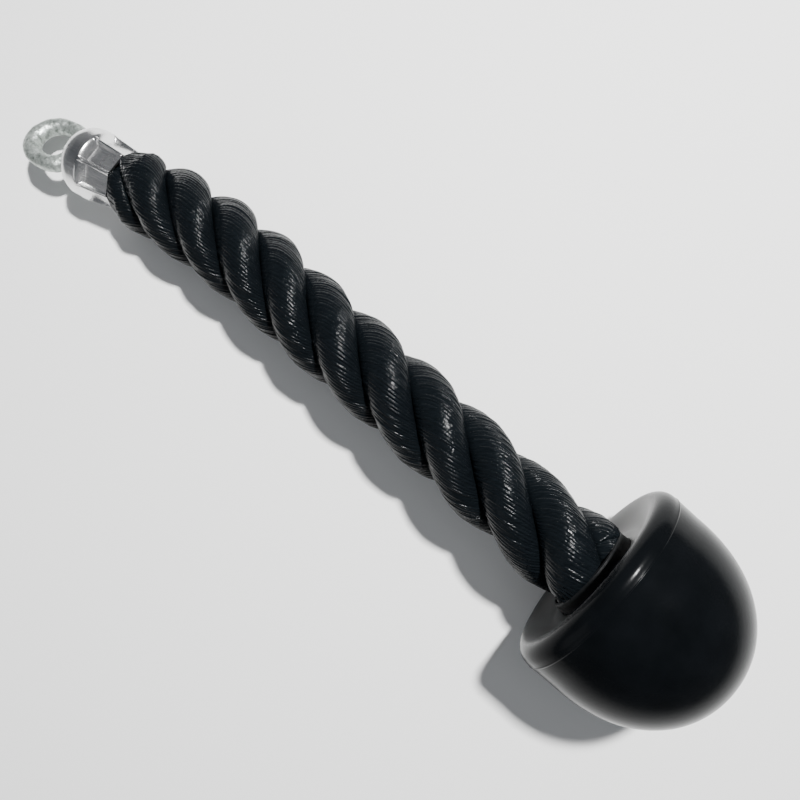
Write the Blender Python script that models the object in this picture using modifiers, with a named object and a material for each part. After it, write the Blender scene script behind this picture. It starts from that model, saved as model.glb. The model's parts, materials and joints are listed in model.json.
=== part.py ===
"""Single-grip triceps rope: a three-strand laid rope with a swivel eye pressed on one end and a rubber
stopper moulded on the other, lying on a floor at z = 0.

Lengths are in metres. The rope runs along -X from the stopper to the eye on a slight arc. Stations along it
are measured from the stopper's moulding line, where the rubber is widest, towards the eye.
"""

import math

import bmesh
import bpy
from mathutils import Matrix, Vector

MM = 0.001

# Rope
rope_diameter = 30 * MM
rope_span = 213 * MM  # moulding line of the stopper to the mouth of the ferrule
rope_set = 13.5  # degrees that the rope has stayed bent sideways, mostly near the ferrule
set_sharpness = 4.5  # exponent that keeps the bend near the ferrule
rope_lean = 1.3  # degrees the other way, where the rope leaves the stopper
lean_length = 30 * MM
strand_count = 3
strand_gap = 0.3 * MM  # least gap between strands
lay_length = 69.5 * MM  # at mid span
lay_growth_share = 0.14  # longer at the stopper and shorter at the ferrule
lay_phase = 24  # degrees, first strand's place at the moulding line
neck_length = 11 * MM  # over which the rope swells from the ferrule's mouth
loosened_share = 0.06  # the lay opens a little beyond the neck
loosened_place = 52 * MM  # widest place, from the ferrule's mouth
loosened_reach = 40 * MM
bound_diameter = 25.8 * MM  # inside the tape and the stopper
bound_neck_length = 13 * MM  # over which the rope swells from the tape
cut_room = 8 * MM  # strands start this much long and are cut square
turn_point_count = 16
strand_sides = 12
neck_point_count = 8
bend_share = 0.5  # hinge that stands for the rope's bend, along the free rope

# Stopper
stopper_diameter = 67.5 * MM
stopper_flats = 32  # sides round the turned rubber
rim_height = 5.6 * MM
rim_fillet = 4.4 * MM
flash_height = 0.16 * MM  # raised moulding line
flash_width = 0.7 * MM
dish_depth = 3.8 * MM  # the face is hollow round the rope
dish_floor_share = 0.25  # flat part of the hollow, from the rope to the rim
wall_length = 7.4 * MM  # drafted wall between the moulding line and the dome
draft = 3.0  # degrees
dome_height = 37.4 * MM
dome_fullness = 2.18  # exponent of the dome's outline, 2 is an ellipse
bore_depth = 28 * MM  # from the moulding line towards the dome
dome_steps = 12
rim_steps = 5
dish_steps = 4

# Tape round the rope at the stopper's mouth
tape_thickness = 0.8 * MM
tape_showing = 3.8 * MM
tape_length = 20 * MM
fit_gap = 0.3 * MM  # between pieces that touch
sleeve_sides = 32

# Crimped ring on the rope's end, inside the stopper
ring_thickness = 2.0 * MM
ring_width = 12 * MM
rope_end_inset = 0.6 * MM  # rope's end short of the bore's floor

# Ferrule
mouth_diameter = 22.2 * MM  # over the ridges that the crimping leaves
skirt_end_diameter = 24.4 * MM
skirt_length = 9.3 * MM
shoulder_length = 3.4 * MM
crown_diameter = 25.7 * MM
crown_straight = 2.8 * MM
dome_length = 6.9 * MM
top_diameter = 10.4 * MM
ferrule_wall = 1.5 * MM
pressed_wall = 1.1 * MM  # under the crimped flats
crimp_count = 8
crimp_depth = 1.1 * MM  # at the mouth
crimp_turn = -10.5  # degrees, the flats' place round the skirt
crimp_run_out = 1.2 * MM
crimp_overrun = 2 * MM
ridge_width = 1.0 * MM
ferrule_sides = 32
crown_steps = 6
shoulder_steps = 4

# Eye
eye_inner_diameter = 11.2 * MM
eye_stock = 5.7 * MM
tip_stock_share = 1.15  # the forging is wider at its far end
eye_flatness_share = 0.9
eye_roll = -18.5  # degrees that it lies turned in its swivel
shank_diameter = 8 * MM
shank_clearance = 0.35 * MM
shank_sides = 24
collar_diameter = 9.6 * MM
collar_height = 1.0 * MM
neck_height = 3.2 * MM
neck_top_diameter = 5.6 * MM
head_diameter = 12 * MM
head_thickness = 3.2 * MM
head_rim_share = 0.5  # straight part of the upset head
head_crown_share = 0.6  # its flat end across
head_room = 1.5 * MM  # rope's end short of the head
eye_gap = 0.35 * MM  # collar over the ferrule's crown
eye_point_count = 24

# Washer under the eye's head
washer_diameter = 12.2 * MM
washer_thickness = 1.4 * MM

# Joining and shading
weld_distance = 0.01 * MM
smooth_angle = 32  # degrees

# Derived sizes
stopper_radius = stopper_diameter / 2
mouth_radius = mouth_diameter / 2
skirt_end_radius = skirt_end_diameter / 2
crown_radius = crown_diameter / 2
top_radius = top_diameter / 2
rope_radius = rope_diameter / 2
ferrule_length = skirt_length + shoulder_length + crown_straight + dome_length
flat_radius = mouth_radius - crimp_depth
ferrule_bore_radius = flat_radius - pressed_wall
squeezed_radius = ferrule_bore_radius - fit_gap  # rope inside the ferrule
eye_inner_radius = eye_inner_diameter / 2
eye_outer_radius = eye_inner_radius + eye_stock
bound_radius = bound_diameter / 2
tape_bore_radius = bound_radius + fit_gap
tape_radius = tape_bore_radius + tape_thickness
ring_bore_radius = bound_radius + fit_gap
ring_radius = ring_bore_radius + ring_thickness
face_height = rim_height - dish_depth
rope_end = -(bore_depth - rope_end_inset)
tape_end = face_height + tape_showing
shank_radius = shank_diameter / 2
shank_hole_radius = shank_radius + shank_clearance
head_under = ferrule_wall + fit_gap + washer_thickness + fit_gap  # below the crown's top
strand_tail = ferrule_length - head_under - head_thickness - head_room  # rope inside the ferrule
shortest_lay = lay_length * (1 - lay_growth_share)  # at the ferrule

COLLECTION = "triceps_rope"
CUTTERS = "cutters"
SPACING_SAMPLES = 400
LINE_STEPS = 200
HALVINGS = 40
RING_SIDES = 8  # round the eye's section


def clear_scene():
    for item in list(bpy.data.objects):
        bpy.data.objects.remove(item, do_unlink=True)


def collection(name):
    found = bpy.data.collections.get(name)
    if found is None:
        found = bpy.data.collections.new(name)
        bpy.context.scene.collection.children.link(found)
    return found


def material(name, colour, roughness, metallic):
    made = bpy.data.materials.new(name)
    made.use_nodes = True
    shader = made.node_tree.nodes["Principled BSDF"]
    shader.inputs["Base Color"].default_value = (*colour, 1)
    shader.inputs["Roughness"].default_value = roughness
    shader.inputs["Metallic"].default_value = metallic
    return made


def add_object(name, data, parent, made_of, group=COLLECTION):
    item = bpy.data.objects.new(name, data)
    collection(group).objects.link(item)
    item.parent = parent
    if made_of:
        data.materials.append(made_of)
    return item


def add_empty(name, parent, location, turn):
    """An empty that carries pieces, turned about its upright axis."""
    item = bpy.data.objects.new(name, None)
    collection(COLLECTION).objects.link(item)
    item.parent = parent
    item.location = location
    item.rotation_euler = (0, 0, turn)
    return item


def applied(item):
    """The object with its modifiers applied, or a curve made a closed mesh."""
    bpy.context.view_layer.update()
    evaluated = item.evaluated_get(bpy.context.evaluated_depsgraph_get())
    mesh = bpy.data.meshes.new_from_object(evaluated)
    weld = bmesh.new()
    weld.from_mesh(mesh)
    bmesh.ops.remove_doubles(weld, verts=weld.verts, dist=weld_distance)
    bmesh.ops.recalc_face_normals(weld, faces=weld.faces)
    weld.to_mesh(mesh)
    weld.free()
    if item.type == "CURVE":
        made = bpy.data.objects.new(item.name, mesh)
        for group in item.users_collection:
            group.objects.link(made)
        made.parent = item.parent
        made.matrix_local = item.matrix_local.copy()
        name = item.name
        bpy.data.objects.remove(item, do_unlink=True)
        made.name = name
        return made
    item.modifiers.clear()
    item.data = mesh
    return item


def turned(name, outline, sides, parent, made_of, group=COLLECTION):
    """A turned solid about X. The outline gives (station, radius) along the outside and back along the
    inside, or from the axis to the axis."""
    mesh = bpy.data.meshes.new(name)
    half_step = math.pi / sides
    points = []
    for station, radius in outline:
        points.append((-station, radius * math.sin(half_step), -radius * math.cos(half_step)))
    closed = min(radius for _, radius in outline) > 0
    edges = [(n, n + 1) for n in range(len(points) - 1)]
    if closed:
        edges.append((len(points) - 1, 0))
    mesh.from_pydata(points, edges, [])
    item = add_object(name, mesh, parent, made_of, group)
    screw = item.modifiers.new("turn", "SCREW")
    screw.axis = "X"
    screw.steps = sides
    screw.render_steps = sides
    screw.use_merge_vertices = True
    screw.merge_threshold = weld_distance
    screw.use_smooth_shade = False
    item = applied(item)
    outward(item.data)
    return item


def outward(mesh):
    """Turns a closed mesh's faces to point out."""
    work = bmesh.new()
    work.from_mesh(mesh)
    bmesh.ops.recalc_face_normals(work, faces=work.faces)
    if work.calc_volume(signed=True) < 0:
        bmesh.ops.reverse_faces(work, faces=work.faces)
    work.to_mesh(mesh)
    work.free()


def smooth(item, angle=smooth_angle):
    item.data.shade_smooth()
    item.data.set_sharp_from_angle(angle=math.radians(angle))


def boolean(item, other, operation):
    change = item.modifiers.new(operation.lower(), "BOOLEAN")
    change.operation = operation
    change.solver = "EXACT"
    change.object = other


def arc(start, end, centre, radii, steps):
    """Points of an elliptic arc between two angles in degrees, as (station, radius)."""
    points = []
    for n in range(steps + 1):
        angle = math.radians(start + (end - start) * n / steps)
        points.append((centre[0] + radii[0] * math.sin(angle), centre[1] + radii[1] * math.cos(angle)))
    return points


def smoothstep(value):
    value = min(max(value, 0.0), 1.0)
    return value * value * (3 - 2 * value)


def heading(station):
    """Sideways turn of the rope at a station, in radians."""
    lean = rope_lean * smoothstep(station / lean_length)
    share = min(max(station / rope_span, 0.0), 1.0)
    return math.radians(rope_set * share**set_sharpness - lean)


def rope_frame(station):
    """Centre of the rope at a station and its sideways direction there. The rope is straight past both ends
    of its span."""
    clamped = min(max(station, 0.0), rope_span)
    step = clamped / LINE_STEPS
    centre = Vector((0, 0, 0))
    for n in range(LINE_STEPS):
        turn = heading(step * (n + 0.5))
        centre -= Vector((math.cos(turn), math.sin(turn), 0)) * step
    turn = heading(clamped)
    along = Vector((-math.cos(turn), -math.sin(turn), 0))
    side = Vector((math.sin(turn), -math.cos(turn), 0))
    return centre + along * (station - clamped), side


def lay_turn(station):
    """Turn of the strands about the rope, in radians. The lay grows longer towards the stopper."""
    slope = 2 * lay_growth_share / rope_span
    longest = 1 + lay_growth_share
    return 2 * math.pi / (lay_length * slope) * math.log(longest / (longest - slope * station))


def swell(station):
    """Share of the rope's full radius: less where it is held in, more where the lay is loosened."""
    past_neck = smoothstep((station - rope_span + neck_length) / neck_length)
    before_neck = smoothstep((tape_end + bound_neck_length - station) / bound_neck_length)
    squeezed = 1 - (1 - squeezed_radius / rope_radius) * past_neck
    bound = 1 - (1 - bound_radius / rope_radius) * before_neck
    away = abs(rope_span - loosened_place - station) / loosened_reach
    return squeezed * bound * (1 + loosened_share * smoothstep(1 - away))


def helix_spacing(radius):
    """Least distance between the centre lines of two neighbouring strands on a helix of that radius."""
    apart = 2 * math.pi / strand_count
    distances = []
    for n in range(SPACING_SAMPLES + 1):
        turn = apart * n / SPACING_SAMPLES
        across = 2 * radius * math.sin((apart - turn) / 2)
        distances.append(math.hypot(across, turn / (2 * math.pi) * shortest_lay))
    return min(distances)


def fitted_strand_radius():
    """Radius at which the strands fill the rope's diameter and keep their gap, found by halving."""
    low, high = 0.0, rope_radius
    for _ in range(HALVINGS):
        radius = (low + high) / 2
        if helix_spacing(rope_radius - radius) - 2 * radius > strand_gap:
            low = radius
        else:
            high = radius
    return low


def strand_stations():
    """Stations of a strand's points, closer together where the rope is drawn in."""
    start = rope_end - cut_room
    neck_start = rope_span - neck_length
    tail = rope_span + strand_tail + cut_room
    step = lay_length / turn_point_count
    stations = []
    for low, high in ((start, neck_start), (neck_start, rope_span), (rope_span, tail)):
        count = neck_point_count if low == neck_start else math.ceil((high - low) / step)
        stations += [low + (high - low) * n / count for n in range(count)]
    return stations + [tail]


def strand_thickness(station, strand_radius):
    """Radius of a strand at a station. The gap between strands stays the same where the rope is drawn in."""
    share = swell(station)
    return strand_radius * share - strand_gap / 2 * (1 - share)


def strand_point(station, number, helix_radius):
    centre, side = rope_frame(station)
    turn = math.radians(lay_phase) + lay_turn(station) + 2 * math.pi * number / strand_count
    across = side * math.cos(turn) + Vector((0, 0, 1)) * math.sin(turn)
    return centre + across * helix_radius * swell(station)


def cut_square(item, station, towards):
    """Cuts a strand across the rope at a station, drops what lies further towards the eye (1) or the
    stopper (-1) and closes the cut."""
    centre, side = rope_frame(station)
    along = side.cross(Vector((0, 0, 1)))
    work = bmesh.new()
    work.from_mesh(item.data)
    everything = work.verts[:] + work.edges[:] + work.faces[:]
    bmesh.ops.bisect_plane(work, geom=everything, plane_co=centre, plane_no=along * towards, clear_outer=True)
    bmesh.ops.holes_fill(work, edges=[edge for edge in work.edges if edge.is_boundary])
    work.to_mesh(item.data)
    work.free()


def add_strand(number, parent, made_of):
    strand_radius = fitted_strand_radius()
    curve = bpy.data.curves.new(f"rope_strand_{number + 1}", "CURVE")
    curve.dimensions = "3D"
    curve.twist_mode = "MINIMUM"
    curve.bevel_depth = strand_radius
    curve.bevel_resolution = (strand_sides - 4) // 2
    curve.use_fill_caps = True
    stations = strand_stations()
    line = curve.splines.new("POLY")
    line.points.add(len(stations) - 1)
    for point, station in zip(line.points, stations):
        point.co = (*strand_point(station, number, rope_radius - strand_radius), 1)
        point.radius = strand_thickness(station, strand_radius) / strand_radius
    item = applied(add_object(curve.name, curve, parent, made_of))
    cut_square(item, rope_end, -1)
    cut_square(item, rope_span + strand_tail, 1)
    outward(item.data)
    smooth(item)


def stopper_outline():
    """From the bore's floor up its wall, over the face and rim, past the moulding line and round the dome."""
    edge = stopper_radius - flash_height
    face_edge = edge - rim_fillet
    mouth = tape_radius + fit_gap
    ring_room = ring_radius + fit_gap
    ring_top = rope_end + ring_width + fit_gap
    bore = [(-bore_depth, 0), (-bore_depth, ring_room), (ring_top, ring_room), (ring_top, mouth)]
    flat_edge = mouth + (face_edge - mouth) * dish_floor_share
    dish = [(face_height, mouth)]
    for n in range(dish_steps):
        share = n / dish_steps
        radius = flat_edge + (face_edge - flat_edge) * share
        dish.append((face_height + dish_depth * smoothstep(share), radius))
    rim = arc(90, 0, (rim_height - rim_fillet, face_edge), (rim_fillet, rim_fillet), rim_steps)
    half = flash_width / 2
    flash = [(half, edge), (half / 2, stopper_radius), (-half / 2, stopper_radius), (-half, edge)]
    wall_end = edge - wall_length * math.tan(math.radians(draft))
    dome = []
    for n in range(dome_steps):
        angle = math.pi / 2 * n / dome_steps
        along = math.sin(angle) ** (2 / dome_fullness)
        across = math.cos(angle) ** (2 / dome_fullness)
        dome.append((-wall_length - dome_height * along, wall_end * across))
    tip = (-wall_length - dome_height, 0)
    return bore + dish + rim + flash + dome + [tip]


def add_stopper(parent, made_of):
    smooth(turned("stopper", stopper_outline(), stopper_flats, parent, made_of))


def add_sleeve(name, low, high, inner, outer, parent, made_of):
    outline = [(high, inner), (high, outer), (low, outer), (low, inner)]
    smooth(turned(name, outline, sleeve_sides, parent, made_of))


def add_ferrule(parent, made_of):
    """Domed cap with its mouth at station 0, pressed flat in eight places round the skirt."""
    shoulder = skirt_length + shoulder_length
    crown_top = shoulder + crown_straight
    across = crown_radius - top_radius
    dome = arc(90, 0, (crown_top, top_radius), (dome_length, across), crown_steps)
    inner_reach = (dome_length - ferrule_wall, across - ferrule_wall)
    cavity = arc(0, 90, (crown_top, top_radius), inner_reach, crown_steps)
    slope = []
    for n in range(shoulder_steps + 1):
        share = n / shoulder_steps
        radius = crown_radius - (crown_radius - skirt_end_radius) * smoothstep(share)
        slope.append((shoulder - shoulder_length * share, radius))
    outside = [(ferrule_length, shank_hole_radius)] + dome + slope + [(0, mouth_radius)]
    cavity_radius = crown_radius - ferrule_wall
    inside = [(0, ferrule_bore_radius), (skirt_length, ferrule_bore_radius), (shoulder, cavity_radius)]
    top = [(ferrule_length - ferrule_wall, shank_hole_radius)]
    item = turned("ferrule", outside + inside + cavity + top, ferrule_sides, parent, made_of)
    for number in range(crimp_count):
        boolean(item, add_crimp(number, parent), "DIFFERENCE")
    item = applied(item)
    outward(item.data)
    smooth(item)


def add_crimp(number, parent):
    """Wedge that presses one flat into the skirt between two ridges and runs out at the shoulder."""
    high = crown_radius + crimp_overrun
    slant = math.tan(math.pi / crimp_count)
    mesh = bpy.data.meshes.new(f"crimp_{number + 1}")
    work = bmesh.new()
    bmesh.ops.create_cube(work, size=1)
    for vertex in work.verts:
        outer = vertex.co.z > 0
        height = high if outer else flat_radius
        end = skirt_length + (crimp_run_out if outer else 0)
        vertex.co.x = crimp_overrun if vertex.co.x > 0 else -end
        vertex.co.y = math.copysign(height * slant - ridge_width / 2, vertex.co.y)
        vertex.co.z = height
    work.to_mesh(mesh)
    work.free()
    item = add_object(mesh.name, mesh, parent, None, CUTTERS)
    item.rotation_euler = (math.radians(crimp_turn) + 2 * math.pi * number / crimp_count, 0, 0)
    item.hide_render = True
    item.display_type = "WIRE"
    return item


def add_ring(parent, made_of):
    """The eye's ring, lying level, wider at its far end. Its near end drops into the shank."""
    ring_centre = eye_gap + math.sqrt(eye_outer_radius**2 - shank_radius**2)
    curve = bpy.data.curves.new("eye", "CURVE")
    curve.dimensions = "3D"
    curve.twist_mode = "Z_UP"
    curve.bevel_depth = eye_stock / 2
    curve.bevel_resolution = (RING_SIDES - 4) // 2
    line = curve.splines.new("POLY")
    line.points.add(eye_point_count - 1)
    line.use_cyclic_u = True
    for number, point in enumerate(line.points):
        angle = 2 * math.pi * (number + 0.5) / eye_point_count
        widening = 1 + (tip_stock_share - 1) * smoothstep((1 - math.cos(angle)) / 2) ** 2
        reach = eye_inner_radius + eye_stock / 2 * widening
        point.co = (reach * math.cos(angle) - ring_centre, reach * math.sin(angle), 0, 1)
        point.radius = widening
        point.tilt = math.pi / RING_SIDES
    item = applied(add_object("eye", curve, parent, made_of))
    item.data.transform(Matrix.Diagonal((1, 1, eye_flatness_share, 1)))
    outward(item.data)
    return item


def add_eye(parent, made_of):
    """Forged eye: the ring, and a shank headed inside the ferrule. The parent's origin is on the swivel's
    axis, at the top of the ferrule's crown."""
    item = add_ring(parent, made_of)
    collar_radius = collar_diameter / 2
    head_radius = head_diameter / 2
    head_end = -head_under - head_thickness
    outline = [
        (eye_gap + neck_height, 0),
        (eye_gap + neck_height, neck_top_diameter / 2),
        (eye_gap + collar_height, collar_radius),
        (eye_gap, collar_radius),
        (eye_gap, shank_radius),
        (-head_under, shank_radius),
        (-head_under, head_radius),
        (-head_under - head_thickness * head_rim_share, head_radius),
        (head_end, head_radius * head_crown_share),
        (head_end, 0),
    ]
    shank = turned("shank", outline, shank_sides, parent, None, CUTTERS)
    shank.hide_render = True
    shank.display_type = "WIRE"
    boolean(item, shank, "UNION")
    item = applied(item)
    outward(item.data)
    smooth(item)


def stand_on_floor(rest):
    """Tips the assembly on to its two supports, the stopper and the ferrule's crown, and centres it over the
    origin with its lowest point on the floor."""
    crown_top = rope_span + skirt_length + shoulder_length + crown_straight
    reach = -rope_frame(crown_top)[0].x
    stopper_drop = stopper_radius * math.cos(math.pi / stopper_flats)
    crown_drop = crown_radius * math.cos(math.pi / ferrule_sides)
    rest.rotation_euler = (0, -math.atan2(stopper_drop - crown_drop, reach), 0)
    bpy.context.view_layer.update()
    graph = bpy.context.evaluated_depsgraph_get()
    corners = []
    for item in collection(COLLECTION).objects:
        if item.type == "MESH":
            seen = item.evaluated_get(graph)
            corners += [seen.matrix_world @ vertex.co for vertex in seen.data.vertices]
    low = [min(corner[n] for corner in corners) for n in range(3)]
    high = [max(corner[n] for corner in corners) for n in range(3)]
    rest.location = (-(low[0] + high[0]) / 2, -(low[1] + high[1]) / 2, -low[2])
    bpy.context.view_layer.update()


def build():
    clear_scene()
    rubber = material("stopper_rubber", (0.012, 0.014, 0.016), 0.32, 0)
    nylon = material("rope_yarn", (0.012, 0.014, 0.017), 0.45, 0)
    tape = material("black_tape", (0.010, 0.010, 0.011), 0.5, 0)
    aluminium = material("polished_aluminium", (0.80, 0.81, 0.83), 0.14, 1)
    zinc = material("galvanised_steel", (0.50, 0.54, 0.52), 0.48, 1)
    steel = material("plain_steel", (0.45, 0.45, 0.46), 0.4, 1)

    rest = add_empty("rest", None, (0, 0, 0), 0)
    add_stopper(rest, rubber)
    add_sleeve("mouth_tape", tape_end - tape_length, tape_end, tape_bore_radius, tape_radius, rest, tape)
    add_sleeve("end_ring", rope_end, rope_end + ring_width, ring_bore_radius, ring_radius, rest, steel)
    for number in range(strand_count):
        add_strand(number, rest, nylon)

    bend_station = tape_end + (rope_span - tape_end) * bend_share
    bend_place = rope_frame(bend_station)[0]
    bend = add_empty("rope_bend", rest, bend_place, 0)
    head = add_empty("head", bend, rope_frame(rope_span)[0] - bend_place, heading(rope_span))
    add_ferrule(head, aluminium)
    swivel = add_empty("eye_swivel", head, (-ferrule_length, 0, 0), 0)
    swivel.rotation_euler.x = math.radians(eye_roll)
    add_eye(swivel, zinc)
    washer_top = ferrule_length - ferrule_wall - fit_gap
    washer_low = washer_top - washer_thickness
    add_sleeve("eye_washer", washer_low, washer_top, shank_hole_radius, washer_diameter / 2, head, steel)
    stand_on_floor(rest)


build()
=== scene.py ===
"""Looks of the single-grip triceps rope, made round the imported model.

Lengths are in metres. Angles among the named values are in degrees unless their comment says otherwise.
The rope leaves the stopper along -X of its rest frame. Stations along it are measured from the stopper's
moulding line towards the eye.
"""

import json
import math

import bmesh
import bpy
import numpy as np
from mathutils import Matrix, Vector, noise


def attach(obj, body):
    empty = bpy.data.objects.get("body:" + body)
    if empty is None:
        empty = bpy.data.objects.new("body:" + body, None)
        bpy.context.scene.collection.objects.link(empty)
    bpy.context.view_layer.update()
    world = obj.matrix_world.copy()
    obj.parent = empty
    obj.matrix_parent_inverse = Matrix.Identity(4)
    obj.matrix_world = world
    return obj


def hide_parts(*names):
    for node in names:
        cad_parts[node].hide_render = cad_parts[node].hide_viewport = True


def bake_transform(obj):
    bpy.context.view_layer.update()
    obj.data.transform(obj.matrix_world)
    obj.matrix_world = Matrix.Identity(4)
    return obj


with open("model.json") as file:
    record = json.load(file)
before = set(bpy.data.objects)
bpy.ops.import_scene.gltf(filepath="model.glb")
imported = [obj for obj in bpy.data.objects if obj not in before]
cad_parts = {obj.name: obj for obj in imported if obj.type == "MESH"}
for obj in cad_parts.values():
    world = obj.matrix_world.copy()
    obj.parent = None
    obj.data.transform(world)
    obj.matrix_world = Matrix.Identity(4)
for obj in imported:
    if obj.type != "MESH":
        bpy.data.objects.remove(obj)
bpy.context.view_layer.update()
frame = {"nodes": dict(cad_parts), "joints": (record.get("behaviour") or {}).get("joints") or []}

MM = 0.001
axis_gap = 0.02 * MM  # radius left at the axis, where a turned surface is capped
fit_gap = 0.3 * MM  # between fitted pieces

# Rope, the same sizes as in the model
rope_diameter = 30 * MM
rope_span = 213 * MM  # from the moulding line to the ferrule's mouth
rope_set = 13.5  # its sideways turn at the ferrule
set_sharpness = 4.5
rope_lean = 1.3  # its sideways turn the other way, from the stopper on
lean_length = 30 * MM
strand_count = 3
lay_length = 69.5 * MM
lay_growth_share = 0.14
lay_phase = 24
bound_diameter = 25.8 * MM  # inside the stopper
bound_neck_length = 13 * MM
loosened_place = 52 * MM  # widest place, from the ferrule's mouth
loosened_reach = 40 * MM
rope_end = -27.4 * MM
bend_share = 0.5  # of the free rope, where its hinge is

# Rope, where its looks go past the model
strand_gap = 0.12 * MM
neck_length = 20 * MM  # over which the rope widens from the ferrule's mouth
bulge_reach = 1.2 * MM  # over which it bulges from under the ferrule and the tape
mouth_bulge_share = 0.37  # of its widening at the ferrule
tape_bulge_share = 0.85  # of its widening at the tape
loosened_share = 0.03
bow = 0.9 * MM  # sideways, near the ferrule
bow_reach = 45 * MM
mouth_flare = 1.2 * MM  # more radius where it enters the stopper
flare_reach = 12 * MM
filled_share = 0.8  # how far it stays pressed round just beyond the tape
filled_length = 22 * MM
line_steps = 2000

# Strands
strand_share = 0.5  # a strand's own radius, of the rope's
opened_share = 0.03  # less near the ferrule, where the strands lie more apart
opened_length = 110 * MM
opened_reach = 60 * MM
pressed_share = 0.62  # a strand's own radius where the rope is pressed together
free_room_share = 0.3  # of the rope's radius, by which a free crest may stand past it
strand_lean = 9  # of the strands' crests towards the stopper
lean_root_share = 0.5  # of the rope's radius, where the lean starts
core_radius = 2 * MM  # within it, the gap between strands grows no wider in angle
unevenness_share = 0.012  # of the rope's radius, by which a strand's reach rises and falls
uneven_length = 41 * MM
uneven_phase = 2.1  # radians, from one strand to the next
ring_spacing = 0.7 * MM
fine_spacing = 0.3 * MM
fine_reach = 6 * MM
knee_share = 0.9  # of a limit, where a value starts to be eased

# Yarns
yarn_count = 30
points_per_yarn = 8
first_seed = 100
yarn_turn_length = 24 * MM  # along the rope, for one turn against the lay
yarn_height = 0.3 * MM
yarn_pitches = (9 * MM, 16 * MM)  # shortest and longest, of a yarn's swelling and thinning
yarn_swell_share = 0.3  # of a yarn's height
yarn_wander_share = 0.45  # of a yarn's width
wander_pitch_shares = (1.7, 3.1)  # of the yarn's own pitch
yarn_step = 0.1 * MM  # some yarns lie deeper than others
step_pitch_share = 2.3
yarn_width = 1.25 * MM
lump_length = 1.1 * MM  # along a yarn, of the lumps where its plies cross
fibre_width = 0.2 * MM
fibre_length = 2.5 * MM
fibre_slant = 0.45  # across a yarn, for each length along it

# Stopper
stopper_diameter = 67.5 * MM
rim_height = 5.6 * MM
rim_fillet = 4.4 * MM
flash_height = 0.16 * MM  # of the moulding line
flash_width = 0.8 * MM
dish_depth = 3.8 * MM
dish_floor_share = 0.25
wall_length = 7.4 * MM
draft = 3.0
dome_height = 37.4 * MM
dome_fullness = 2.18  # 2 would be an ellipse
bore_depth = 28 * MM
mouth_gap = 0.06 * MM
mouth_lip = 0.3 * MM
dish_steps = 24
rim_steps = 16
flash_steps = 12
dome_steps = 40
wall_shares = (0.3, 0.6, 0.85)
stopper_sides = 160
stopper_sharp_angle = 50

# End ring and washer, which stay hidden
ring_thickness = 2.0 * MM
ring_width = 12 * MM
washer_thickness = 1.4 * MM

# Tape
tape_thickness = 0.8 * MM
tape_showing = 3.8 * MM
tape_length = 20 * MM
tape_edge = 0.35 * MM  # rounded edge
tape_edge_gap = 0.1 * MM
tape_wave = 0.12 * MM  # the next three are shares of it
tape_crest_share = 0.8
tape_ripple_share = 0.3
tape_sink_share = 1.4
tape_ripples = ((7, 900), (11, -700))  # waves round the tape, and radians for each metre along it
tape_rows = 16
tape_edge_steps = 6
tape_sides = 160
tape_weld = 0.01 * MM
tape_sharp_angle = 60

# Ferrule
mouth_diameter = 22.2 * MM
skirt_end_diameter = 24.4 * MM
skirt_length = 9.3 * MM
shoulder_length = 3.4 * MM
crown_diameter = 25.7 * MM
crown_straight = 2.8 * MM
dome_length = 6.9 * MM
top_diameter = 10.4 * MM
ferrule_wall = 1.5 * MM
crimp_count = 8
crimp_depth = 1.1 * MM
crimp_turn = -10.5
pressed_wall = 1.1 * MM
crimp_run_out = 2.4 * MM
crimp_overlap = 0.6 * MM  # of the flats, on to the shoulder
ridge_width = 1.3 * MM  # the next three are shares of its half
flank_start_share = 0.7
flank_share = 0.6
groove_share = 0.45
ridge_groove = 0.25 * MM
lip_radius = 0.25 * MM
crown_steps = 20
cavity_steps = 12
shoulder_rows = 48
skirt_rows = 24
skirt_shares = (0.985, 0.04)  # of the skirt's length, at its first and last rows
lip_steps = 5
ferrule_sides = 480
ferrule_weld = 0.005 * MM
ferrule_sharp_angle = 35

# Eye
eye_inner_diameter = 11.2 * MM
eye_stock = 5.7 * MM
tip_stock_share = 1.15
eye_flatness_share = 0.9
eye_roll = -18.5
root_place = 48  # round the ring from the shank, where its sides spread into the collar
root_reach = 50
root_bulge = 0.9 * MM
root_thickening = 0.35 * MM
shank_diameter = 8 * MM
shank_clearance = 0.35 * MM
collar_diameter = 9.6 * MM
collar_height = 1.0 * MM
neck_height = 3.2 * MM
neck_top_diameter = 5.6 * MM
head_diameter = 12 * MM
head_thickness = 3.2 * MM
head_straight_share = 0.5  # of its thickness, before it tapers
head_top_share = 0.6  # of its radius, at its flat end
head_room = 1.5 * MM
eye_gap = 0.35 * MM
ring_sides = 96
stock_sides = 32
shank_sides = 64
eye_voxel = 0.25 * MM
ease_factor = 0.5
ease_steps = 8
lump_height = 0.13 * MM
lump_size = 2.2 * MM
lump_fineness = 0.8
lump_lacunarity = 2.0
lump_octaves = 3

# Surfaces. Tones are in linear light. They go from the darkest patches up, and roughness from the smoothest
yarn_tones = ((0.0018, 0.0026, 0.0032), (0.0045, 0.006, 0.0075))
yarn_roughness = (0.12, 0.2)
yarn_ior = 1.165
yarn_bump = 0.2 * MM
fibre_bump_share = 0.22  # of the lumps'
row_step = 3.7  # between yarns, so that their lumps differ
rubber_tones = ((0.0016, 0.002, 0.0024), (0.003, 0.0036, 0.0044))
rubber_roughness = (0.16, 0.23)
rubber_ior = 1.14
rubber_bump = 0.04 * MM
hollow_start = 0.5  # of the rim's fillet, outside its crest, where the hollow's dull look begins
hollow_roughness = 0.3  # more than on the dome
hollow_coat_roughness = 0.5
hollow_coat_ior = 1.6
tape_tones = ((0.004, 0.0045, 0.005), (0.009, 0.0095, 0.010))
tape_roughness = (0.42, 0.6)
tape_ior = 1.2
tape_bump = 0.06 * MM
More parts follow.
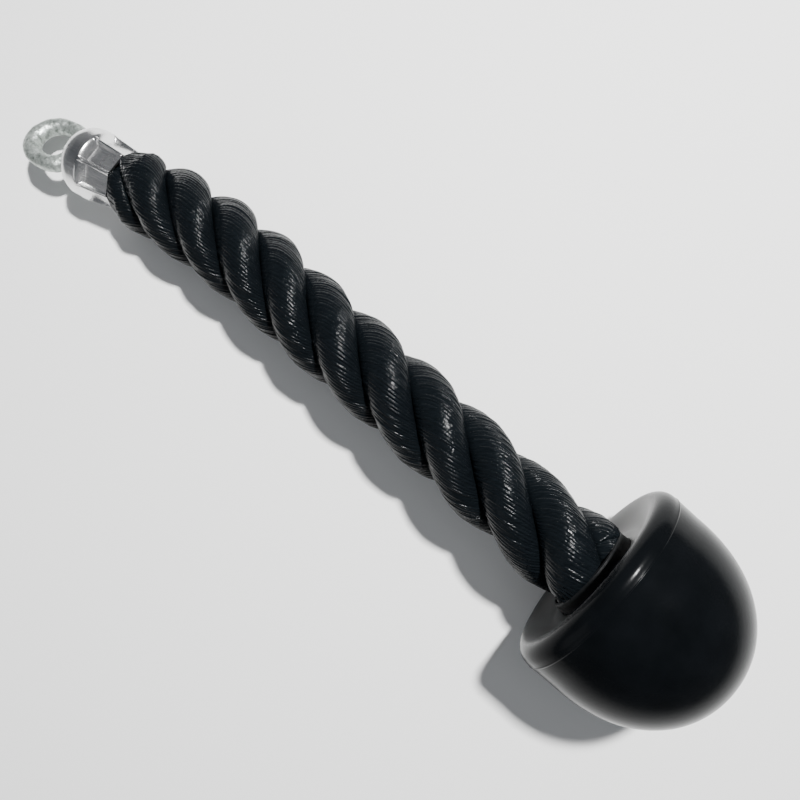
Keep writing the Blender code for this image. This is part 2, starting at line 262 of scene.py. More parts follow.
aluminium_tones = ((0.66, 0.66, 0.65), (0.84, 0.84, 0.84))
aluminium_roughness = (0.19, 0.30)
aluminium_bump = 0.03 * MM
grain_share = 1.5  # of the scores'
score_scale = (90.0, 2600.0, 2600.0)  # waves for each metre, along the axis and across it
zinc_tones = ((0.16, 0.18, 0.165), (0.42, 0.46, 0.43), (0.66, 0.70, 0.67))
zinc_roughness = (0.34, 0.56)
zinc_metallic = 0.85
zinc_bump = 0.12 * MM
steel_tones = ((0.38, 0.38, 0.39), (0.50, 0.50, 0.51))
steel_roughness = (0.32, 0.48)
floor_colour = (0.86, 0.86, 0.85)
floor_roughness = 0.8

# Camera, from the photograph's own perspective
camera_place = (0.040803, 0.0, 0.237185)
camera_turn = (3.5069, 3.5853, 41.3947)
camera_lens = 29.064  # mm
sensor_width = 36  # mm
clip_start = 10 * MM

# Studio
floor_reach = 3.0
light_target = (0, 0, 0)
key_place = (0.0121, 0.3411, 0.6936)
key_size = 0.05
key_power = 18
fill_place = (0.0, -0.1, 1.3)
fill_size = 1.2
fill_power = 2.4
fill_colour = (0.92, 0.96, 1.0)
side_place = (-0.1, -0.9, 0.55)
side_size = 0.7
side_power = 1.2
room_colour = (0.20, 0.205, 0.215)
zenith_colour = (0.055, 0.06, 0.07)
room_height_share = 0.25
zenith_height_share = 0.85

# Derived sizes
rope_radius = rope_diameter / 2
stopper_radius = stopper_diameter / 2
bound_radius = bound_diameter / 2
mouth_radius = mouth_diameter / 2
crown_radius = crown_diameter / 2
top_radius = top_diameter / 2
skirt_end_radius = skirt_end_diameter / 2
ferrule_bore_radius = mouth_radius - crimp_depth - pressed_wall
squeezed_radius = ferrule_bore_radius - fit_gap
tape_radius = bound_radius + fit_gap + tape_thickness
ring_radius = bound_radius + fit_gap + ring_thickness
face_height = rim_height - dish_depth
tape_end = face_height + tape_showing
ferrule_length = skirt_length + shoulder_length + crown_straight + dome_length
eye_inner_radius = eye_inner_diameter / 2
eye_outer_radius = eye_inner_radius + eye_stock
shank_radius = shank_diameter / 2
head_under = ferrule_wall + fit_gap + washer_thickness + fit_gap
strand_tail = ferrule_length - head_under - head_thickness - head_room  # rope inside the ferrule
strand_end = rope_span + strand_tail


def smoothstep(value):
    value = np.clip(value, 0.0, 1.0)
    return value * value * (3 - 2 * value)


def quarter_round(value):
    value = np.clip(value, 0.0, 1.0)
    return np.sqrt(1 - (1 - value) ** 2)


def soft_limit(value, limit):
    """The value, eased so that it never passes the limit."""
    knee = limit * knee_share
    room = limit - knee
    return np.where(value > knee, knee + room * np.tanh((value - knee) / room), value)


def round_angles(count):
    return 2 * np.pi * np.arange(count) / count


def heading(station):
    """Sideways turn of the rope at a station, in radians."""
    lean = rope_lean * smoothstep(station / lean_length)
    share = np.clip(station / rope_span, 0.0, 1.0)
    return np.radians(rope_set * share**set_sharpness - lean)


def rope_line(stations):
    """Centres of the rope at its stations, and its directions along and sideways there."""
    fine = np.linspace(0, rope_span, line_steps + 1)
    middle = heading((fine[1:] + fine[:-1]) / 2)
    step = fine[1] - fine[0]
    x = np.concatenate([[0], -np.cumsum(np.cos(middle)) * step])
    y = np.concatenate([[0], -np.cumsum(np.sin(middle)) * step])
    clamped = np.clip(stations, 0, rope_span)
    turn = heading(clamped)
    along = np.stack([-np.cos(turn), -np.sin(turn), 0 * turn], -1)
    side = np.stack([np.sin(turn), -np.cos(turn), 0 * turn], -1)
    centre = np.stack([np.interp(clamped, fine, x), np.interp(clamped, fine, y), 0 * turn], -1)
    return centre + along * (stations - clamped)[..., None], along, side


def lay_turn(station):
    """Turn of the strands about the rope, in radians."""
    slope = 2 * lay_growth_share / rope_span
    longest = 1 + lay_growth_share
    return 2 * np.pi / (lay_length * slope) * np.log(longest / (longest - slope * station))


def flared(station):
    """What the bound rope and its tape gain in radius towards the stopper's mouth."""
    return mouth_flare * smoothstep(1 + station / flare_reach)


def swell(station):
    """Share of the rope's full radius at a station."""
    from_mouth = rope_span - station
    from_tape = station - tape_end
    squeezed = squeezed_radius / rope_radius
    widening = mouth_bulge_share * quarter_round(from_mouth / bulge_reach)
    widening += (1 - mouth_bulge_share) * quarter_round(from_mouth / neck_length) ** 2
    bound = (bound_radius + flared(station)) / rope_radius
    opening = tape_bulge_share * quarter_round(from_tape / bulge_reach)
    opening += (1 - tape_bulge_share) * smoothstep(from_tape / bound_neck_length)
    loosened = loosened_share * smoothstep(1 - np.abs(from_mouth - loosened_place) / loosened_reach)
    return (squeezed + (1 - squeezed) * widening) * (bound + (1 - bound) * opening) * (1 + loosened)


def pressed(station):
    """0 where the rope is free, 1 where the tape or the ferrule presses its strands together."""
    narrowing = (1 - np.minimum(swell(station), 1)) / (1 - bound_radius / rope_radius)
    beyond_tape = filled_share * (1 - smoothstep((station - tape_end) / filled_length))
    return np.maximum(smoothstep(narrowing), beyond_tape)


def bent(station, radius, angle):
    """Places in the rest frame from stations, distances from the rope's axis and angles about it."""
    centre, _, side = rope_line(station)
    away = np.abs(rope_span - loosened_place - station) / bow_reach
    centre = centre - side * (bow * smoothstep(1 - away))[..., None]
    up = np.array((0.0, 0.0, 1.0))
    return centre + (side * np.cos(angle)[..., None] + up * np.sin(angle)[..., None]) * radius[..., None]


def rope_placement():
    """Placement of the rope's rest frame, from the hinge that carries the rope's bend."""
    bend = next(joint for joint in frame["joints"] if joint["name"] == "rope_bend")
    up = Vector(bend["axis"]).normalized()
    side = Vector((0, 1, 0))
    turn = Matrix((side.cross(up), side, up)).transposed().to_4x4()
    middle = tape_end + (rope_span - tape_end) * bend_share
    centre = Vector(rope_line(np.array([middle]))[0][0])
    return Matrix.Translation(Vector(bend["pos_m"]) - turn @ centre) @ turn


def ferrule_placement():
    """Placement of the ferrule's frame, with its mouth at the origin and its crown towards -X."""
    mouth_centre = Vector(rope_line(np.array([rope_span]))[0][0])
    turn = Matrix.Rotation(float(heading(rope_span)), 4, "Z")
    return rope_rest @ Matrix.Translation(mouth_centre) @ turn


def eye_placement():
    """Placement of the eye's frame, with the ferrule's top at the origin and the ring towards -X."""
    roll = Matrix.Rotation(math.radians(eye_roll), 4, "X")
    return ferrule_rest @ Matrix.Translation((-ferrule_length, 0, 0)) @ roll


rope_rest = rope_placement()
ferrule_rest = ferrule_placement()
eye_rest = eye_placement()


def new_object(name, mesh, placement, material):
    item = bpy.data.objects.new(name, mesh)
    bpy.context.scene.collection.objects.link(item)
    mesh.transform(placement)
    mesh.materials.append(material)
    mesh.shade_smooth()
    return item


def face_outward(mesh, weld_distance=0):
    """Turns a mesh's faces outward, once the points within the weld distance are joined."""
    work = bmesh.new()
    work.from_mesh(mesh)
    if weld_distance:
        bmesh.ops.remove_doubles(work, verts=work.verts, dist=weld_distance)
    bmesh.ops.recalc_face_normals(work, faces=work.faces)
    work.to_mesh(mesh)
    work.free()


def grid_faces(rows, columns, first):
    """Quads of a grid of points whose columns close round."""
    row, column = np.meshgrid(np.arange(rows - 1), np.arange(columns), indexing="ij")
    near = row * columns + column
    far = row * columns + (column + 1) % columns
    return first + np.stack([near, far, far + columns, near + columns], -1).reshape(-1, 4)


def tube_mesh(name, grids, cap=True):
    """Mesh from grids of points, each (rows, columns, 3) with its columns closing round."""
    points, faces = [], []
    count = 0
    for grid in grids:
        rows, columns = grid.shape[:2]
        points.append(grid.reshape(-1, 3))
        faces += grid_faces(rows, columns, count).tolist()
        if cap:
            faces.append(list(range(count, count + columns))[::-1])
            last = count + (rows - 1) * columns
            faces.append(list(range(last, last + columns)))
        count += rows * columns
    mesh = bpy.data.meshes.new(name)
    mesh.from_pydata(np.concatenate(points).tolist(), [], faces)
    face_outward(mesh)
    return mesh


def point_value(mesh, name, values):
    attribute = mesh.attributes.new(name, "FLOAT", "POINT")
    attribute.data.foreach_set("value", np.asarray(values, np.float32).ravel())


def turned_grid(outline, sides):
    """Points of a turned surface about X, from (station, radius) pairs."""
    outline = np.array(outline)
    angle = round_angles(sides)
    station = np.repeat(outline[:, :1], sides, 1)
    radius = outline[:, 1:2]
    return np.stack([-station, radius * np.cos(angle), radius * np.sin(angle)], -1)


def arc(start, end, centre, radii, steps):
    """(station, radius) pairs along an elliptic arc. Its angles are from the outermost point."""
    angle = np.radians(np.linspace(start, end, steps + 1))
    return list(zip(centre[0] + radii[0] * np.sin(angle), centre[1] + radii[1] * np.cos(angle)))


class Nodes:
    """A material's node tree, with short ways to add and link nodes."""

    def __init__(self, name):
        self.material = bpy.data.materials.new(name)
        self.material.use_nodes = True
        self.tree = self.material.node_tree
        self.shader = self.tree.nodes["Principled BSDF"]

    def add(self, kind, settings=None, **inputs):
        """New node. Each input goes by its name, or by i and its number where names repeat."""
        node = self.tree.nodes.new("ShaderNode" + kind)
        for key, value in (settings or {}).items():
            setattr(node, key, value)
        for key, value in inputs.items():
            self.put(node, key.replace("_", " "), value)
        return node

    def put(self, node, key, value):
        socket = node.inputs[int(key[1:])] if key[0] == "i" and key[1:].isdigit() else node.inputs[key]
        if isinstance(value, bpy.types.NodeSocket):
            self.tree.links.new(value, socket)
        else:
            socket.default_value = value

    def attribute(self, name, output="Fac"):
        return self.add("Attribute", {"attribute_name": name}).outputs[output]

    def math(self, operation, first, second=0.0):
        return self.add("Math", {"operation": operation}, i0=first, i1=second).outputs[0]

    def ramp(self, value, places, colours):
        """Colours or plain numbers, blended between their places on the value."""
        node = self.add("ValToRGB", Fac=value)
        elements = node.color_ramp.elements
        while len(elements) < len(places):
            elements.new(0.5)
        for element, place, colour in zip(elements, places, colours):
            element.position = place
            element.color = (*colour, 1) if isinstance(colour, tuple) else (colour, colour, colour, 1)
        return node.outputs[0]

    def noise(self, scale, detail=4.0, roughness=0.5, vector=None):
        """Noise from 0 to 1. The scale is in waves for each metre, unless another vector is given."""
        node = self.add("TexNoise", Scale=scale, Detail=detail, Roughness=roughness)
        self.put(node, "Vector", vector or self.add("TexCoord").outputs["Object"])
        return node.outputs["Fac"]

    def bump(self, height, distance, strength=1.0):
        return self.add("Bump", Height=height, Distance=distance, Strength=strength).outputs[0]

    def finish(self, **inputs):
        for key, value in inputs.items():
            self.put(self.shader, key.replace("_", " "), value)
        return self.material


def yarn_material():
    """Black multifilament yarn with a cool tint. Its plies make lumps and its fibres slant across it."""
    n = Nodes("rope_yarn")
    across = n.attribute("across")
    along = n.attribute("along")
    row = n.math("MULTIPLY", n.math("ROUND", n.attribute("yarn")), row_step)
    width = n.math("MULTIPLY", across, yarn_width)
    slanted = n.math("SUBTRACT", width, n.math("MULTIPLY", along, fibre_slant))
    lump_place = n.add("CombineXYZ", X=n.math("DIVIDE", along, lump_length), Y=row).outputs[0]
    fibre_place = n.add("CombineXYZ", X=n.math("DIVIDE", slanted, fibre_width),
                        Y=n.math("DIVIDE", along, fibre_length), Z=row).outputs[0]
    lumps = n.noise(1.0, 1.0, 0.5, lump_place)
    fibres = n.noise(1.0, 2.0, 0.5, fibre_place)
    height = n.math("ADD", lumps, n.math("MULTIPLY", fibres, fibre_bump_share))
    tone = n.ramp(fibres, (0.3, 0.75), yarn_tones)
    rough = n.ramp(lumps, (0.3, 0.7), yarn_roughness)
    normal = n.bump(height, yarn_bump)
    return n.finish(Base_Color=tone, Roughness=rough, Normal=normal, IOR=yarn_ior)


def rubber_material():
    """Moulded rubber, satin on the dome and dull in the hollow of its face."""
    n = Nodes("stopper_rubber")
    hollow = n.attribute("hollow")
    tone = n.ramp(n.noise(90.0, 5.0), (0.3, 0.8), rubber_tones)
    satin = n.ramp(n.noise(140.0, 6.0, 0.6), (0.25, 0.75), rubber_roughness)
    rough = n.math("ADD", satin, n.math("MULTIPLY", hollow, hollow_roughness))
    normal = n.bump(n.noise(900.0), rubber_bump, 0.5)
    return n.finish(Base_Color=tone, Roughness=rough, Normal=normal, IOR=rubber_ior, Coat_Weight=hollow,
                    Coat_Roughness=hollow_coat_roughness, Coat_IOR=hollow_coat_ior)


def tape_material():
    """Dull black tape with a fine grain."""
    n = Nodes("black_tape")
    tone = n.ramp(n.noise(300.0), (0.3, 0.8), tape_tones)
    rough = n.ramp(n.noise(900.0, 3.0), (0.3, 0.7), tape_roughness)
    normal = n.bump(n.noise(1500.0), tape_bump, 0.6)
    return n.finish(Base_Color=tone, Roughness=rough, Normal=normal, IOR=tape_ior)


def aluminium_material():
    """Drawn aluminium, scored along the axis by the crimping dies."""
    n = Nodes("polished_aluminium")
    local = n.attribute("local", "Vector")
    score_place = n.add("VectorMath", {"operation": "MULTIPLY"}, i0=local, i1=score_scale).outputs[0]
    scores = n.noise(1.0, 4.0, 0.6, score_place)
    tone = n.ramp(scores, (0.35, 0.65), aluminium_tones)
    rough = n.ramp(n.noise(160.0), (0.3, 0.7), aluminium_roughness)
    height = n.math("ADD", scores, n.math("MULTIPLY", n.noise(500.0), grain_share))
    normal = n.bump(height, aluminium_bump)
    return n.finish(Base_Color=tone, Roughness=rough, Normal=normal, Metallic=1.0)


def zinc_material():
    """Dull zinc with a greenish cast and darker patches."""
    n = Nodes("galvanised_steel")
    tone = n.ramp(n.noise(520.0, 6.0, 0.7), (0.34, 0.5, 0.68), zinc_tones)
    rough = n.ramp(n.noise(700.0), (0.3, 0.75), zinc_roughness)
    normal = n.bump(n.noise(1300.0, 5.0, 0.6), zinc_bump, 0.8)
    return n.finish(Base_Color=tone, Roughness=rough, Normal=normal, Metallic=zinc_metallic)


def steel_material():
    """Plain steel, for the ring and the washer that stay hidden."""
    n = Nodes("plain_steel")
    tone = n.ramp(n.noise(300.0), (0.3, 0.8), steel_tones)
    rough = n.ramp(n.noise(500.0), (0.3, 0.8), steel_roughness)
    return n.finish(Base_Color=tone, Roughness=rough, Metallic=1.0)


def strand_stations():
    """Stations of a strand's rings, closer together at the tape's edge and the ferrule's mouth."""
    at_tape = (tape_end - fine_reach, tape_end + fine_reach)
    at_mouth = (rope_span - fine_reach, rope_span + fine_reach)
    edges = [rope_end, *at_tape, *at_mouth, strand_end]
    stations = []
    for number, (start, end) in enumerate(zip(edges, edges[1:])):
        spacing = fine_spacing if number % 2 else ring_spacing
        stations.append(np.linspace(start, end, math.ceil((end - start) / spacing), endpoint=False))
    return np.concatenate(stations + [[strand_end]])


def strand_turn(number, station):
    """Angle of a strand's middle about the rope, in radians."""
    return math.radians(lay_phase) + lay_turn(station) + 2 * math.pi * number / strand_count


def strand_rings(number, station):
    """A strand's rings on a straight rope: their centres, radii, and directions outward and level."""
    uneven = np.sin(station * 2 * np.pi / uneven_length + uneven_phase * number) * unevenness_share
    reach = rope_radius * swell(station) * (1 + uneven)
    opened = smoothstep((station - rope_span + opened_length) / opened_reach)
    own_share = strand_share - opened_share * opened * (1 - pressed(station))
    helix = reach * (1 - own_share)
    radius = reach * (own_share + (pressed_share - own_share) * pressed(station))
    turn = strand_turn(number, station)
    centre = np.stack([station, helix * np.cos(turn), helix * np.sin(turn)], -1)
    along = np.gradient(centre, station, axis=0)
    along /= np.linalg.norm(along, axis=1, keepdims=True)
    across = np.stack([0 * turn, np.cos(turn), np.sin(turn)], -1)
    outward = across - along * (across * along).sum(1, keepdims=True)
    outward /= np.linalg.norm(outward, axis=1, keepdims=True)
    return centre, radius, outward, np.cross(outward, along)


def strand_yarns(number, station):
    """Angles about a strand and heights above its yarns' roots, for each ring and point, and for each point
    round it the yarn's number and the place across it."""
    columns = yarn_count * points_per_yarn
    column = np.arange(columns)
    yarn = column // points_per_yarn
    place = (column % points_per_yarn) / points_per_yarn
    random = np.random.default_rng(first_seed + number)
    phase = random.uniform(0, 2 * np.pi, (4, yarn_count))
    pitch = random.uniform(*yarn_pitches, yarn_count)

    def wave(kind, pitch_share):
        return np.sin(station[:, None] * 2 * np.pi / (pitch * pitch_share) + phase[kind])

    wander = wave(0, wander_pitch_shares[0]) + wave(1, wander_pitch_shares[1])
    between = (wander + np.roll(wander, 1, 1)) / 4  # shared edge of two yarns
    shift = between[:, yarn] * (1 - place) + np.roll(between, -1, 1)[:, yarn] * place
    width = 2 * np.pi / yarn_count
    wind = 2 * np.pi * (station - rope_end) / yarn_turn_length
    angle = column * 2 * np.pi / columns + shift * yarn_wander_share * width + wind[:, None]
    tall = 1 + yarn_swell_share * wave(2, 1)
    step = yarn_step * wave(3, step_pitch_share)
    ridge = np.sqrt(1 - (2 * place - 1) ** 2)
    height = (yarn_height * tall + step - yarn_step)[:, yarn] * ridge
    return angle, height, yarn, place


def pressed_strand(number, relief, smooth):
    """Stations, distances from the rope's axis and angles about it of a strand's points, once it is
    pressed flat against its neighbours and kept within the rope. Both grids are the strand on a straight
    rope, with its yarns' relief and without."""
    station = relief[..., 0]
    distance = np.hypot(relief[..., 1], relief[..., 2])
    middle = strand_turn(number, station)
    away = (np.arctan2(relief[..., 2], relief[..., 1]) - middle + np.pi) % (2 * np.pi) - np.pi
    widest = math.pi / strand_count - strand_gap / 2 / np.maximum(distance, core_radius)
    away = np.sign(away) * soft_limit(np.abs(away), widest)
    outer = rope_radius * swell(station)
    free = 1 - pressed(station)
    smooth_distance = np.hypot(smooth[..., 1], smooth[..., 2])
    room = outer * (1 + free_room_share * free) - yarn_height
    distance = soft_limit(smooth_distance, room) + distance - smooth_distance
    above_root = (distance / outer - lean_root_share) / (1 - lean_root_share)
    lean = math.radians(strand_lean) * free * smoothstep(above_root)
    return station, distance, middle + away + lean


def strand_grid(number):
    """Points of one strand with its yarns, and for each point the yarn's number, the place across it and
    the station. The strand is shaped on a straight rope, pressed against its neighbours, and bent."""
    station = strand_stations()
    centre, radius, outward, level = strand_rings(number, station)
    angle, height, yarn, place = strand_yarns(number, station)
    root = (radius - yarn_height)[:, None]
    offset = outward[:, None] * np.cos(angle)[..., None] + level[:, None] * np.sin(angle)[..., None]
    relief = centre[:, None] + offset * (root + height)[..., None]
    smooth = centre[:, None] + offset * root[..., None]
    place_along, distance, turn = pressed_strand(number, relief, smooth)
    points = bent(place_along, distance, turn)
    shape = points.shape[:2]
    yarns = np.broadcast_to(yarn + number * yarn_count, shape)
    return points, yarns, np.broadcast_to(place, shape), place_along


def add_rope(material):
    grids, *measures = zip(*(strand_grid(number) for number in range(strand_count)))
    mesh = tube_mesh("rope", grids)
    for name, values in zip(("yarn", "across", "along"), measures):
        point_value(mesh, name, np.concatenate([value.ravel() for value in values]))
    rope = new_object("rope", mesh, rope_rest, material)
    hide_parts(*[f"rope_strand_{number + 1}" for number in range(strand_count)])
    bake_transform(rope)


def stopper_outline():
    """From the bore's floor up its wall, over face and rim, past the moulding line and round the dome."""
    edge = stopper_radius - flash_height
    face_edge = edge - rim_fillet
    mouth = tape_radius + mouth_flare + mouth_gap
    ring_room = ring_radius + fit_gap
    ring_top = rope_end + ring_width + fit_gap
    bore = [(-bore_depth, axis_gap), (-bore_depth, ring_room), (ring_top, ring_room), (ring_top, mouth)]
    bore.append((face_height - mouth_lip, mouth))
    flat_edge = mouth + (face_edge - mouth) * dish_floor_share
    dish = [(face_height, mouth + mouth_lip)]
    for share in np.linspace(0, 1, dish_steps, endpoint=False):
        rise = dish_depth * smoothstep(share)
        dish.append((face_height + rise, flat_edge + (face_edge - flat_edge) * share))
    rim = arc(90, 0, (rim_height - rim_fillet, face_edge), (rim_fillet, rim_fillet), rim_steps)
    half = flash_width / 2
    flash = []
    for share in np.linspace(1, -1, flash_steps + 1):
        flash.append((half * share, edge + flash_height * (1 + math.cos(math.pi * share)) / 2))
    wall_end = edge - wall_length * math.tan(math.radians(draft))
    wall = [(-wall_length * share, edge - (edge - wall_end) * share) for share in wall_shares]
    dome = []
    for angle in np.linspace(0, np.pi / 2, dome_steps, endpoint=False):
        along = math.sin(angle) ** (2 / dome_fullness)
        across = math.cos(angle) ** (2 / dome_fullness)
        dome.append((-wall_length - dome_height * along, wall_end * across))
    tip = (-wall_length - dome_height, axis_gap)
    return bore + dish + rim + flash + wall + dome + [tip]


def add_stopper(material):
    outline = np.array(stopper_outline())
    mesh = tube_mesh("stopper_body", [turned_grid(outline, stopper_sides)])
    crest = stopper_radius - flash_height - rim_fillet
    hollow = (outline[:, 0] > 0) * smoothstep((crest - outline[:, 1]) / rim_fillet + hollow_start)
    point_value(mesh, "hollow", np.repeat(hollow, stopper_sides))
    stopper = new_object("stopper_body", mesh, rope_rest, material)
    mesh.set_sharp_from_angle(angle=math.radians(stopper_sharp_angle))
    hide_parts("stopper")
    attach(stopper, "grip")


def tape_grid():
    """Tape wound round the rope. It follows the strands a little, and its edge is laid down on them."""
    low = tape_end - tape_length
    inner = bound_radius + tape_edge_gap
    outline = [(low, inner)]
    outline += [(place, tape_radius) for place in np.linspace(low, tape_end - tape_edge, tape_rows)]
    for turn in np.linspace(0, np.pi / 2, tape_edge_steps + 1)[1:]:
        drop = (tape_radius - inner) * (1 - math.cos(turn))
        outline.append((tape_end - tape_edge * (1 - math.sin(turn)), tape_radius - drop))
    grid = turned_grid(outline, tape_sides)
    station = -grid[..., 0]
    angle = round_angles(tape_sides)
    crest = np.cos(strand_count * (angle - np.pi / 2 - math.radians(lay_phase) - lay_turn(station)))
    ripple = sum(np.sin(waves * angle + along * station) for waves, along in tape_ripples)
    radius = np.hypot(grid[..., 1], grid[..., 2])
    unevenness = tape_wave * (tape_crest_share * crest + tape_ripple_share * ripple - tape_sink_share)
    change = unevenness * (radius > inner + tape_edge_gap) + flared(station)
    grid[..., 1] += np.cos(angle) * change
    grid[..., 2] += np.sin(angle) * change
    return np.concatenate([grid, grid[:1]])


def add_tape(material):
    mesh = tube_mesh("tape_sleeve", [tape_grid()], cap=False)
    face_outward(mesh, tape_weld)
    tape = new_object("tape_sleeve", mesh, rope_rest, material)
    mesh.set_sharp_from_angle(angle=math.radians(tape_sharp_angle))
    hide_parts("mouth_tape")
    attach(tape, "grip")


def crimped(station, radius, angle):
    """Radius of the ferrule's skirt after crimping: flats with a grooved ridge between neighbours."""
    face = 2 * np.pi / crimp_count
    from_middle = (angle - math.radians(crimp_turn) + face / 2) % face - face / 2
    flat = (mouth_radius - crimp_depth) / np.cos(from_middle)
    from_ridge = (face / 2 - np.abs(from_middle)) * mouth_radius / (ridge_width / 2)
    ridge = 1 - smoothstep((from_ridge - flank_start_share) / flank_share)
    groove = ridge_groove * (1 - smoothstep(from_ridge / groove_share))
    shaped = np.minimum(flat + (radius - flat) * ridge, radius) - groove
    past_end = np.clip((station - skirt_length - crimp_overlap) / crimp_run_out, 0, 1)
    return shaped + (radius - shaped) * (1 - (1 - past_end) ** 2)


def ferrule_outlines():
    """(station, radius) pairs of the ferrule's outside before crimping, and of its inside."""
    shoulder = skirt_length + shoulder_length
    crown_top = shoulder + crown_straight
    across = crown_radius - top_radius
    hole = shank_radius + shank_clearance
    dome = arc(90, 0, (crown_top, top_radius), (dome_length, across), crown_steps)
    slope = []
    for share in np.linspace(0, 1, shoulder_rows):
        drop = (crown_radius - skirt_end_radius) * smoothstep(share)
        slope.append((shoulder - shoulder_length * share, crown_radius - drop))
    skirt = []
    for share in np.linspace(*skirt_shares, skirt_rows):
        skirt.append((skirt_length * share, mouth_radius + (skirt_end_radius - mouth_radius) * share))
    lip = [(lip_radius * (1 - math.sin(turn)), mouth_radius - lip_radius * (1 - math.cos(turn)))
           for turn in np.linspace(0, np.pi / 2, lip_steps + 1)]
    outside = [(ferrule_length, hole)] + dome + slope + skirt + lip
    bore = ferrule_bore_radius
    inside = [(0, bore + lip_radius), (lip_radius, bore), (skirt_length, bore)]
    inside += [(shoulder, crown_radius - ferrule_wall)]
    inner_dome = (dome_length - ferrule_wall, across - ferrule_wall)
    inside += arc(0, 90, (crown_top, top_radius), inner_dome, cavity_steps)
    inside += [(ferrule_length - ferrule_wall, hole), (ferrule_length, hole)]
    return outside, inside


def ferrule_grid():
    outside, inside = ferrule_outlines()
    outline = np.array(outside + inside)
    angle = round_angles(ferrule_sides)
    station = outline[:, :1]
    radius = np.repeat(outline[:, 1:2], ferrule_sides, 1)
    outer = len(outside)
    radius[:outer] = crimped(station[:outer], radius[:outer], angle)
    station = np.repeat(station, ferrule_sides, 1)
    return np.stack([-station, radius * np.cos(angle), radius * np.sin(angle)], -1)


def add_ferrule(material):
    mesh = tube_mesh("ferrule_cap", [ferrule_grid()], cap=False)
    face_outward(mesh, ferrule_weld)
    local = np.empty(len(mesh.vertices) * 3, np.float32)
    mesh.vertices.foreach_get("co", local)
    mesh.attributes.new("local", "FLOAT_VECTOR", "POINT").data.foreach_set("vector", local)
    cap = new_object("ferrule_cap", mesh, ferrule_rest, material)
    mesh.set_sharp_from_angle(angle=math.radians(ferrule_sharp_angle))
    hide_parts("ferrule")
    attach(cap, "head")


def eye_ring_grid():
    """Ring of the eye, thicker at its tip and where its sides spread into the collar."""
    ring_centre = eye_gap + math.sqrt(eye_outer_radius**2 - shank_radius**2)
    angle = round_angles(ring_sides)
    widening = 1 + (tip_stock_share - 1) * smoothstep((1 - np.cos(angle)) / 2) ** 2
    from_root = np.abs((angle + np.pi) % (2 * np.pi) - np.pi)
    root = smoothstep(1 - np.abs(from_root - math.radians(root_place)) / math.radians(root_reach))
    reach = eye_inner_radius + eye_stock / 2 * widening + root_bulge * root
    round_angle = round_angles(stock_sides)
    thick = (eye_stock / 2 * widening + root_thickening * root)[:, None]
    radius = reach[:, None] + thick * np.cos(round_angle)
    height = thick * np.sin(round_angle) * eye_flatness_share
    x = radius * np.cos(angle)[:, None] - ring_centre
    ring = np.stack([x, radius * np.sin(angle)[:, None], height], -1)
    return np.concatenate([ring, ring[:1]])


def eye_shank_outline():
    """From the neck inside the ring, past the collar and down the shank to its upset head."""
    neck_top = eye_gap + neck_height
    collar_top = eye_gap + collar_height
    head_radius = head_diameter / 2
    straight_end = -head_under - head_thickness * head_straight_share
    end = -head_under - head_thickness
    return [(neck_top, axis_gap), (neck_top, neck_top_diameter / 2),
            (collar_top, collar_diameter / 2), (eye_gap, collar_diameter / 2), (eye_gap, shank_radius),
            (-head_under, shank_radius), (-head_under, head_radius),
            (straight_end, head_radius), (end, head_radius * head_top_share), (end, axis_gap)]


def forged(eye):
    """Mesh of the eye with its parts run into one another and its surface left lumpy."""
    remesh = eye.modifiers.new("blend", "REMESH")
    remesh.mode = "VOXEL"
    remesh.voxel_size = eye_voxel
    easing = eye.modifiers.new("ease", "SMOOTH")
    easing.factor = ease_factor
    easing.iterations = ease_steps
    bpy.context.view_layer.update()
    shown = eye.evaluated_get(bpy.context.evaluated_depsgraph_get())
    mesh = bpy.data.meshes.new_from_object(shown)
    eye.modifiers.clear()
    places = []
    for vertex in mesh.vertices:
        lump = noise.fractal(vertex.co / lump_size, lump_fineness, lump_lacunarity, lump_octaves)
        places.append(vertex.co + vertex.normal * lump_height * lump)
    for vertex, place in zip(mesh.vertices, places):
        vertex.co = place
    return mesh


def add_eye(material):
    mesh = tube_mesh("forged_eye", [eye_ring_grid(), turned_grid(eye_shank_outline(), shank_sides)])
    eye = new_object("forged_eye", mesh, Matrix.Identity(4), material)
    eye.data = forged(eye)
    eye.data.transform(eye_rest)
    eye.data.shade_smooth()
    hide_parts("eye")
    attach(eye, "eye")


def finish_cad_nodes(material):
    for name in ("end_ring", "eye_washer"):
        mesh = frame["nodes"][name].data
        mesh.materials.clear()
        mesh.materials.append(material)


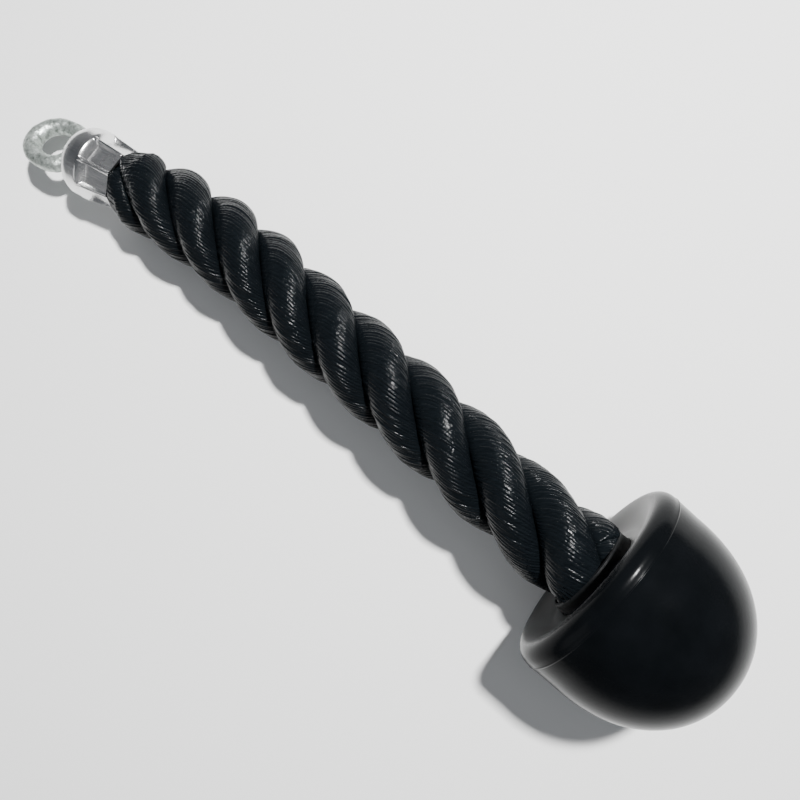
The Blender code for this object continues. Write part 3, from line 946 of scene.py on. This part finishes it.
def add_camera():
    data = bpy.data.cameras.new("camera")
    data.sensor_width = sensor_width
    data.lens = camera_lens
    data.clip_start = clip_start
    camera = bpy.data.objects.new("camera", data)
    camera.location = camera_place
    camera.rotation_euler = [math.radians(angle) for angle in camera_turn]
    bpy.context.scene.collection.objects.link(camera)
    bpy.context.scene.camera = camera


def add_floor():
    near, far = -floor_reach, floor_reach
    mesh = bpy.data.meshes.new("floor")
    corners = [(near, near, 0), (far, near, 0), (far, far, 0), (near, far, 0)]
    mesh.from_pydata(corners, [], [(0, 1, 2, 3)])
    material = Nodes("floor").finish(Base_Color=(*floor_colour, 1), Roughness=floor_roughness)
    new_object("floor", mesh, Matrix.Identity(4), material)


def add_world():
    """Soft room light that darkens towards the zenith."""
    world = bpy.data.worlds.new("studio")
    world.use_nodes = True
    sky = world.node_tree.nodes
    place = sky.new("ShaderNodeTexCoord")
    parts = sky.new("ShaderNodeSeparateXYZ")
    ramp = sky.new("ShaderNodeValToRGB")
    join = world.node_tree.links.new
    join(place.outputs["Generated"], parts.inputs[0])
    join(parts.outputs["Z"], ramp.inputs[0])
    join(ramp.outputs[0], sky["Background"].inputs["Color"])
    ramp.color_ramp.interpolation = "EASE"
    room, zenith = ramp.color_ramp.elements
    room.color = (*room_colour, 1)
    room.position = room_height_share
    zenith.color = (*zenith_colour, 1)
    zenith.position = zenith_height_share
    bpy.context.scene.world = world


def area_light(name, place, size, power, colour=(1, 1, 1)):
    data = bpy.data.lights.new(name, "AREA")
    data.size = size
    data.energy = power
    data.color = colour
    lamp = bpy.data.objects.new(name, data)
    lamp.location = place
    lamp.rotation_euler = (Vector(light_target) - Vector(place)).to_track_quat("-Z", "Y").to_euler()
    bpy.context.scene.collection.objects.link(lamp)
    return lamp


def add_lights():
    area_light("key", key_place, key_size, key_power)
    soft = area_light("soft_fill", fill_place, fill_size, fill_power, fill_colour)
    soft.visible_glossy = False
    area_light("side_fill", side_place, side_size, side_power)


add_camera()
add_rope(yarn_material())
add_stopper(rubber_material())
add_tape(tape_material())
add_ferrule(aluminium_material())
add_eye(zinc_material())
finish_cad_nodes(steel_material())
add_floor()
add_world()
add_lights()
